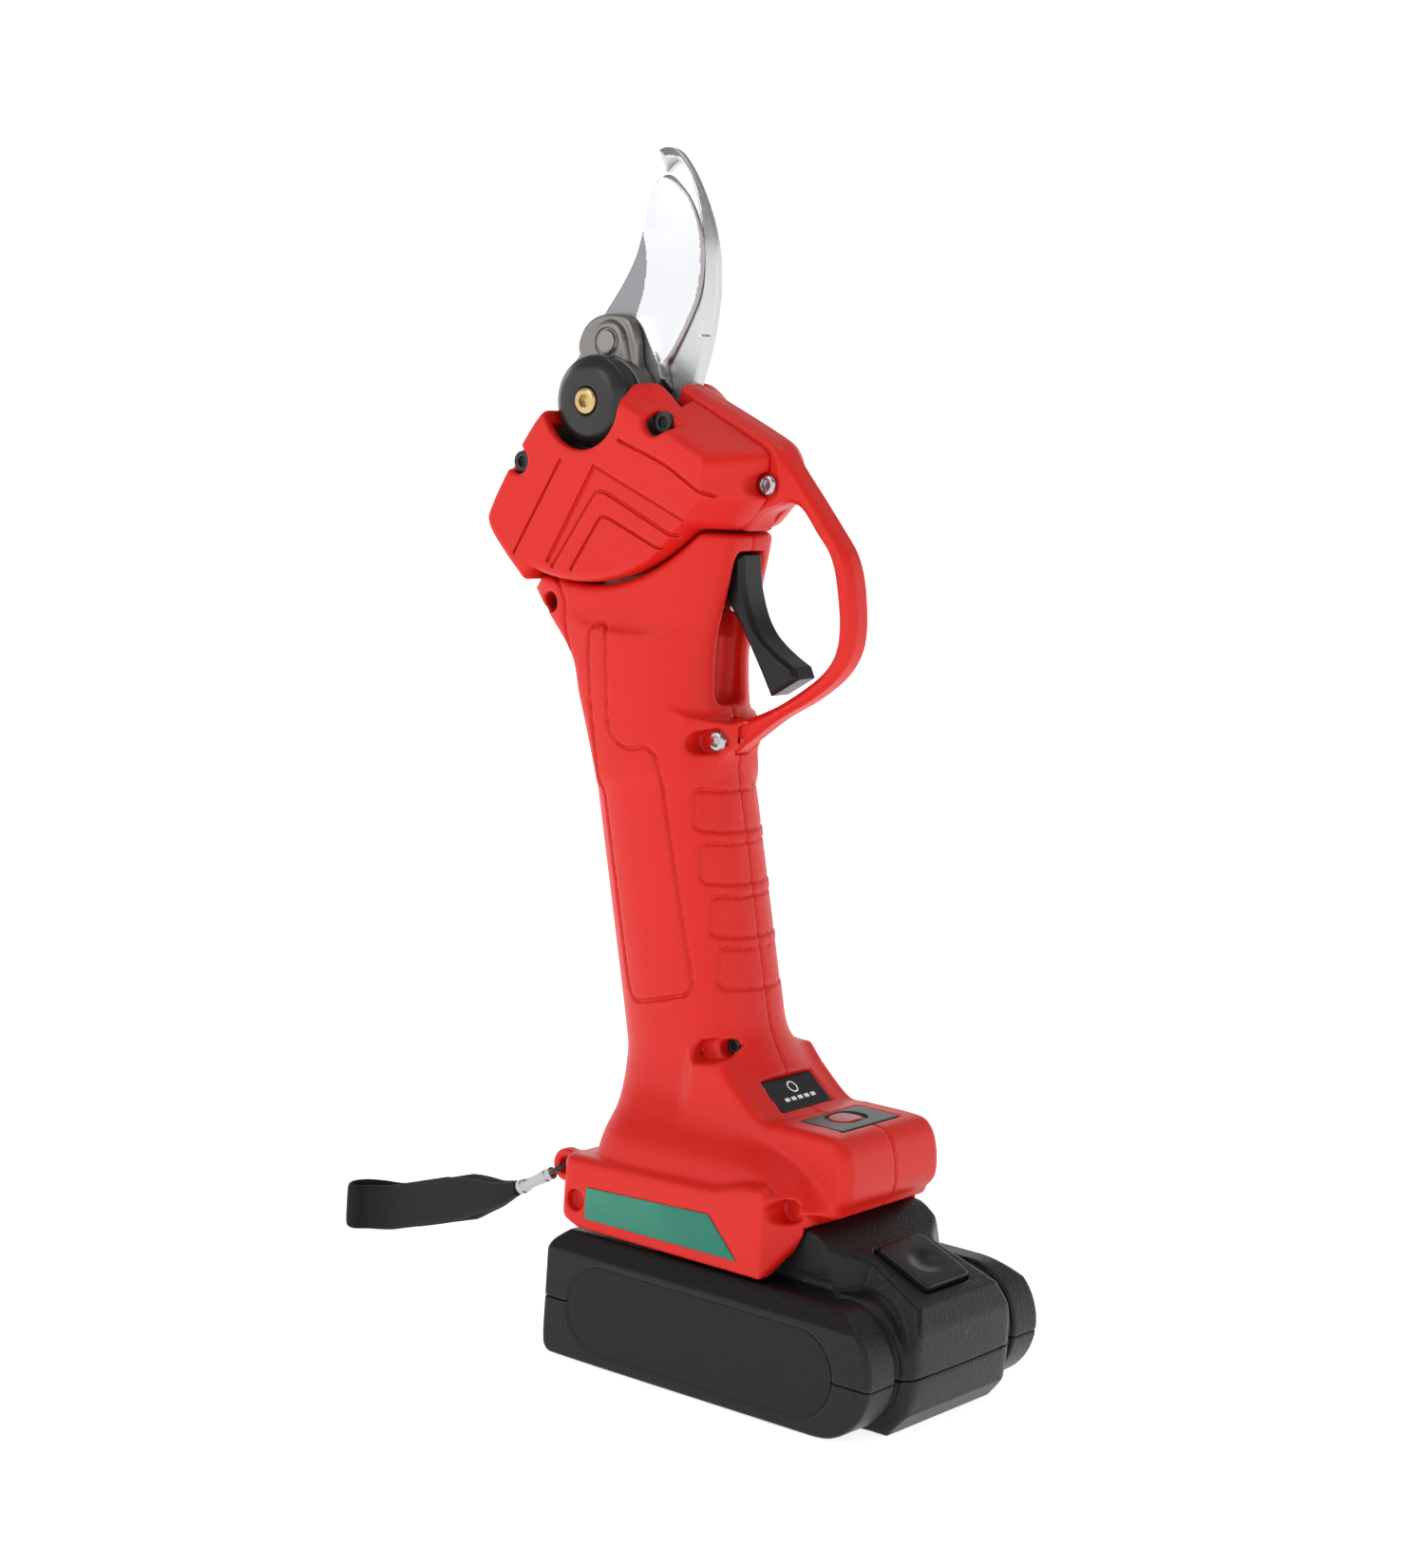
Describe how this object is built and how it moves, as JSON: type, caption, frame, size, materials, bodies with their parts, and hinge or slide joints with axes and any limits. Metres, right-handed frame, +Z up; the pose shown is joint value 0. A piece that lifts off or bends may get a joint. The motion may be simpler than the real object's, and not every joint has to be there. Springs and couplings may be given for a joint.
{
  "type": "cordless pruner",
  "caption": "Battery pruner: bypass blades on a motor handle with a finger guard, trigger, slide-on battery foot and wrist strap.",
  "frame": {"origin": "middle of the battery's flat underside, on the tool's mid-plane", "axes": "+X forward to the trigger side, +Y to the tool's right-hand side, +Z up towards the blades"},
  "size_m": [0.2066, 0.072, 0.2945],
  "materials": {
    "red_shell": "fine texture",
    "black_shell": "satin",
    "trigger_black": "satin",
    "panel": "matt",
    "blade_steel": "polished",
    "hook_steel": "brushed",
    "gear_steel": "cast",
    "black_steel": "blacked",
    "bright_steel": "bright",
    "brass": "turned",
    "alloy": "machined",
    "copper": "wound",
    "circuit": "laminate",
    "wire": "sleeved",
    "button_red": "gloss",
    "window": "gloss",
    "label_green": "printed",
    "cell_blue": "sleeved",
    "holder_white": "moulded",
    "webbing": "woven"
  },
  "bodies": {
    "handle": {"handle_shell_left": "red_shell", "handle_shell_right": "red_shell", "head_shell_left": "red_shell", "head_shell_right": "red_shell", "trigger_guard": "red_shell", "gear_housing": "alloy", "counter_blade": "hook_steel", "pivot_bolt": "black_steel", "pivot_washers": "bright_steel", "adjusting_nut": "black_steel", "lock_screw": "brass", "pinion_bearing": "bright_steel", "ring_gear": "gear_steel", "motor_can": "black_steel", "motor_magnets": "black_steel", "motor_board": "circuit", "trigger_pin": "bright_steel", "trigger_spring": "bright_steel", "hall_sensor": "circuit", "control_board": "circuit", "motor_wires": "wire", "power_plate": "alloy", "power_switch": "trigger_black", "display_window": "window", "display_board": "circuit", "terminal_block": "trigger_black", "terminal_blades": "brass", "side_labels": "label_green", "head_screws": "black_steel", "guard_screws": "bright_steel", "handle_screws": "black_steel", "strap_cord": "webbing", "strap_ferrule": "bright_steel", "wrist_strap": "webbing"},
    "blade": {"moving_blade": "blade_steel", "drive_gear": "gear_steel", "drive_pin": "gear_steel"},
    "pinion": {"bevel_pinion": "gear_steel", "planet_carrier": "gear_steel"},
    "rotor": {"motor_rotor": "copper", "sun_gear": "gear_steel"},
    "trigger": {"trigger": "trigger_black", "trigger_magnet": "bright_steel"},
    "power_button": {"power_button": "button_red"},
    "battery": {"lower_case": "black_shell", "upper_case": "black_shell", "side_panels": "panel", "battery_cells": "cell_blue", "cell_straps": "bright_steel", "cell_holder": "holder_white", "battery_board": "circuit", "battery_contacts": "brass", "latch_spring": "bright_steel", "battery_screws": "black_steel"},
    "release_button": {"release_button": "trigger_black"},
    "planet_a": {"planet_gear_a": "gear_steel"},
    "planet_b": {"planet_gear_b": "gear_steel"},
    "planet_c": {"planet_gear_c": "gear_steel"}
  },
  "joints": [
    {"name": "blade_hinge", "type": "hinge", "parent": "handle", "child": "blade", "pos_m": [-0.0675, -0.0016, 0.2325], "axis": [0, -1, 0], "range_deg": [0, 45]},
    {"name": "pinion_spin", "type": "hinge", "parent": "handle", "child": "pinion", "pos_m": [-0.05715, 0, 0.18871], "axis": [-0.23, 0, 0.9732], "range_deg": [-10, 280]},
    {"name": "rotor_spin", "type": "hinge", "parent": "handle", "child": "rotor", "pos_m": [-0.0491, 0, 0.15465], "axis": [-0.23, 0, 0.9732], "range_deg": [-30, 1230]},
    {"name": "planet_a_spin", "type": "hinge", "parent": "pinion", "child": "planet_a", "pos_m": [-0.05462, 0.0072, 0.178], "axis": [-0.23, 0, 0.9732], "range_deg": [-770, 20]},
    {"name": "planet_b_spin", "type": "hinge", "parent": "pinion", "child": "planet_b", "pos_m": [-0.06069, -0.0036, 0.17657], "axis": [-0.23, 0, 0.9732], "range_deg": [-770, 20]},
    {"name": "planet_c_spin", "type": "hinge", "parent": "pinion", "child": "planet_c", "pos_m": [-0.04855, -0.0036, 0.17944], "axis": [-0.23, 0, 0.9732], "range_deg": [-770, 20]},
    {"name": "trigger_hinge", "type": "hinge", "parent": "handle", "child": "trigger", "pos_m": [-0.0325, 0, 0.1945], "axis": [0, 1, 0], "range_deg": [0, 12], "stiffness_Nm_per_rad": 0.6, "springref_deg": -8.59},
    {"name": "power_press", "type": "slide", "parent": "handle", "child": "power_button", "axis": [0, 0, 1], "range_m": [-0.0004, 0], "stiffness_N_per_m": 1500, "springref_m": 0.0004},
    {"name": "battery_slide", "type": "slide", "parent": "handle", "child": "battery", "axis": [1, 0, 0], "range_m": [0, 0.06]},
    {"name": "release_press", "type": "slide", "parent": "battery", "child": "release_button", "axis": [-0.3907, 0, -0.9205], "range_m": [0, 0.002], "stiffness_N_per_m": 900, "springref_m": -0.001}
  ],
  "couplings": [
    {"joint": "pinion_spin", "follows": "blade_hinge", "ratio": 6},
    {"joint": "rotor_spin", "follows": "blade_hinge", "ratio": 27},
    {"joint": "planet_a_spin", "follows": "blade_hinge", "ratio": -16.8},
    {"joint": "planet_b_spin", "follows": "blade_hinge", "ratio": -16.8},
    {"joint": "planet_c_spin", "follows": "blade_hinge", "ratio": -16.8}
  ]
}
